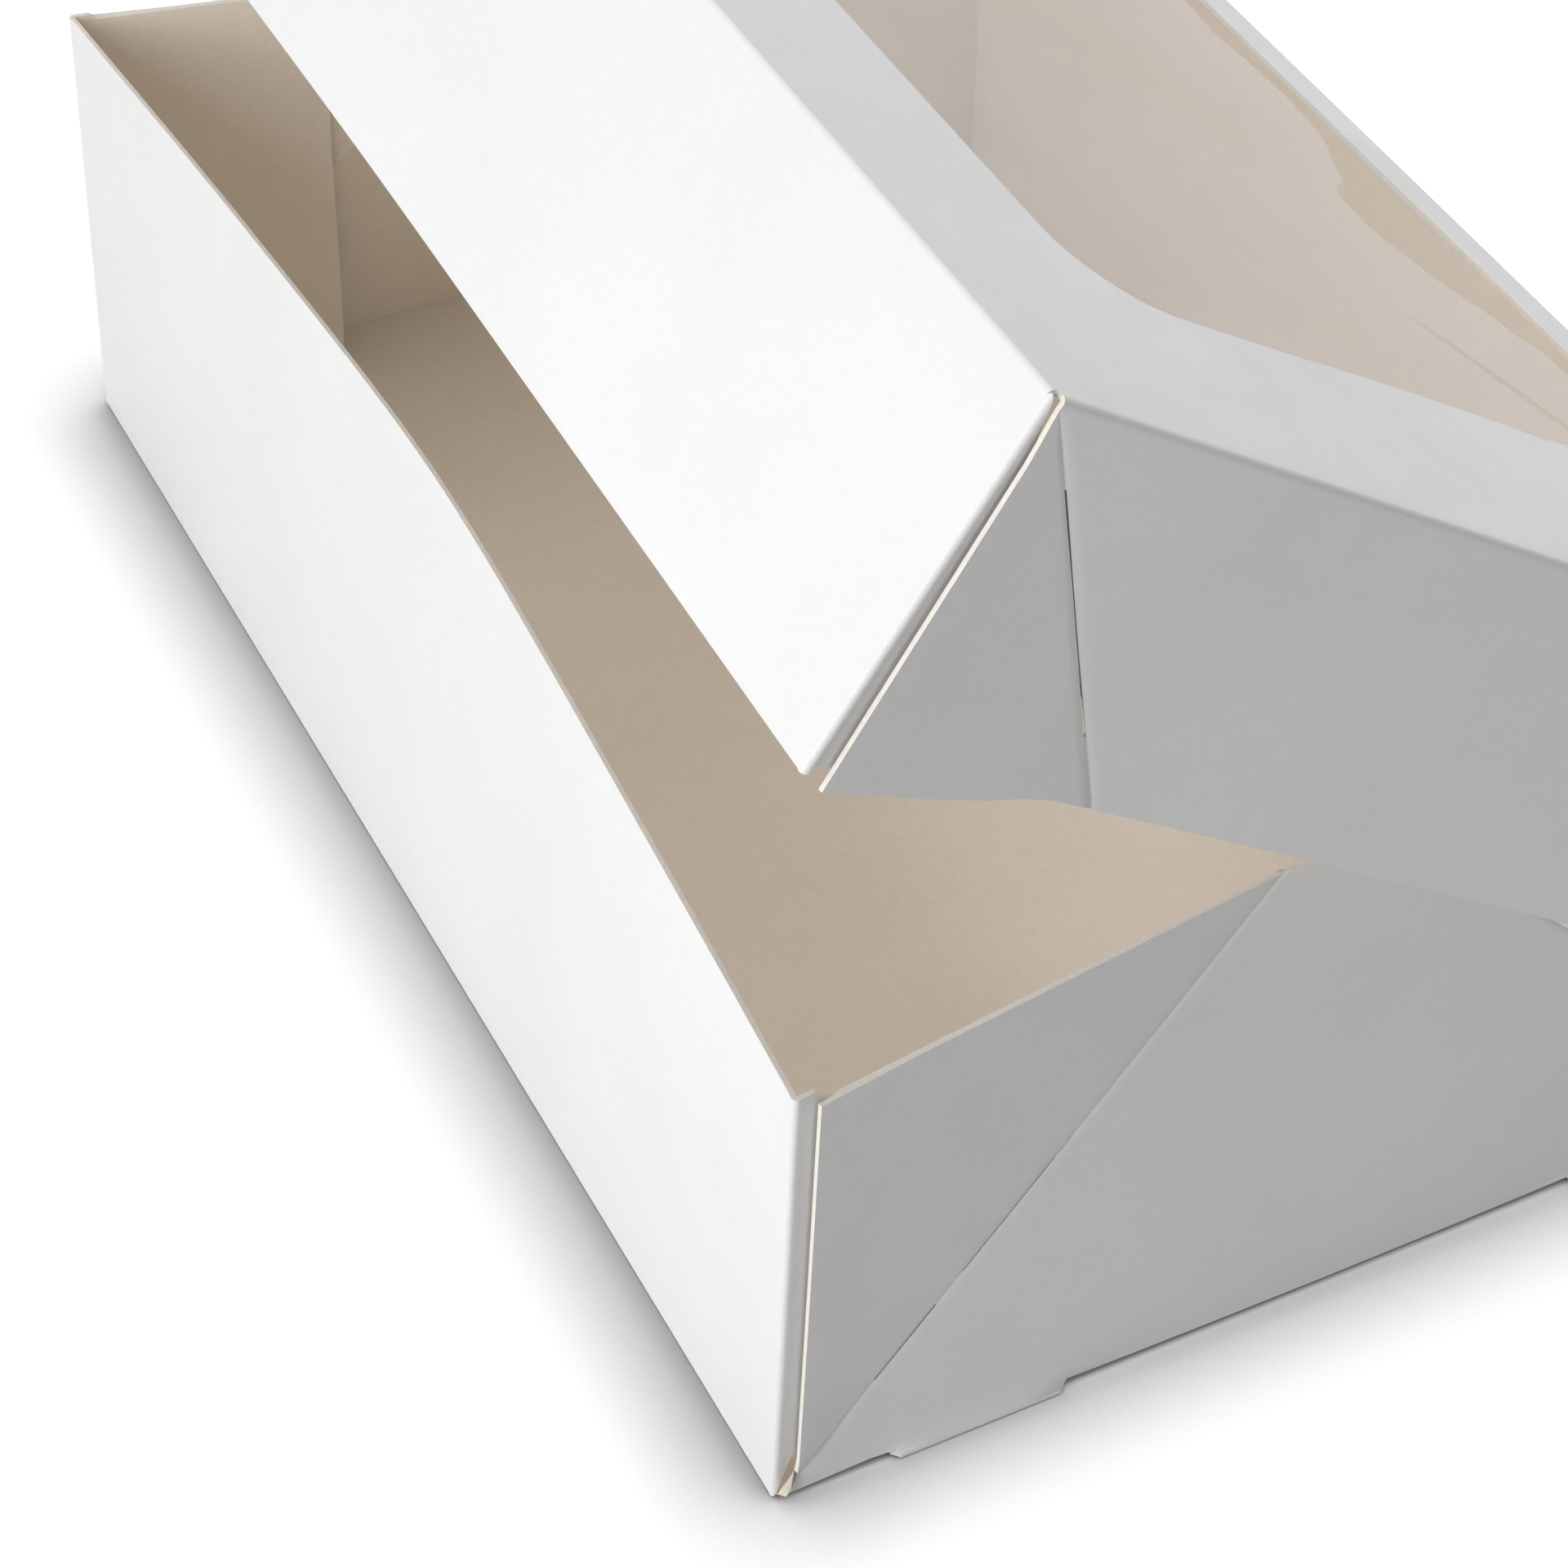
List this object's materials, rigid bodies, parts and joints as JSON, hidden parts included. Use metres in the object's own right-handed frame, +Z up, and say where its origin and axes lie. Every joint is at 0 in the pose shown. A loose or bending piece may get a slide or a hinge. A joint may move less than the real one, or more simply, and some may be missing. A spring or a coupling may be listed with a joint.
{
  "type": "cupcake box",
  "caption": "White folding-board cake box with inward-folding glued corners and a hinged lid that has a clear film window.",
  "frame": {"origin": "middle of the underside of the base", "axes": "+X to the right along the front wall, +Y from the front wall to the rear wall, +Z up"},
  "size_m": [0.2556, 0.165, 0.1708],
  "materials": {
    "board": "white coated outside, brown uncoated inside",
    "film": "clear film"
  },
  "bodies": {
    "base": {"base_tray": "board"},
    "lid": {"lid": "board", "window_film": "film"}
  },
  "joints": [
    {"name": "lid_hinge", "type": "hinge", "parent": "base", "child": "lid", "pos_m": [0, 0.0825, 0.075], "axis": [-1, 0, 0], "range_deg": [-35, 165]}
  ]
}
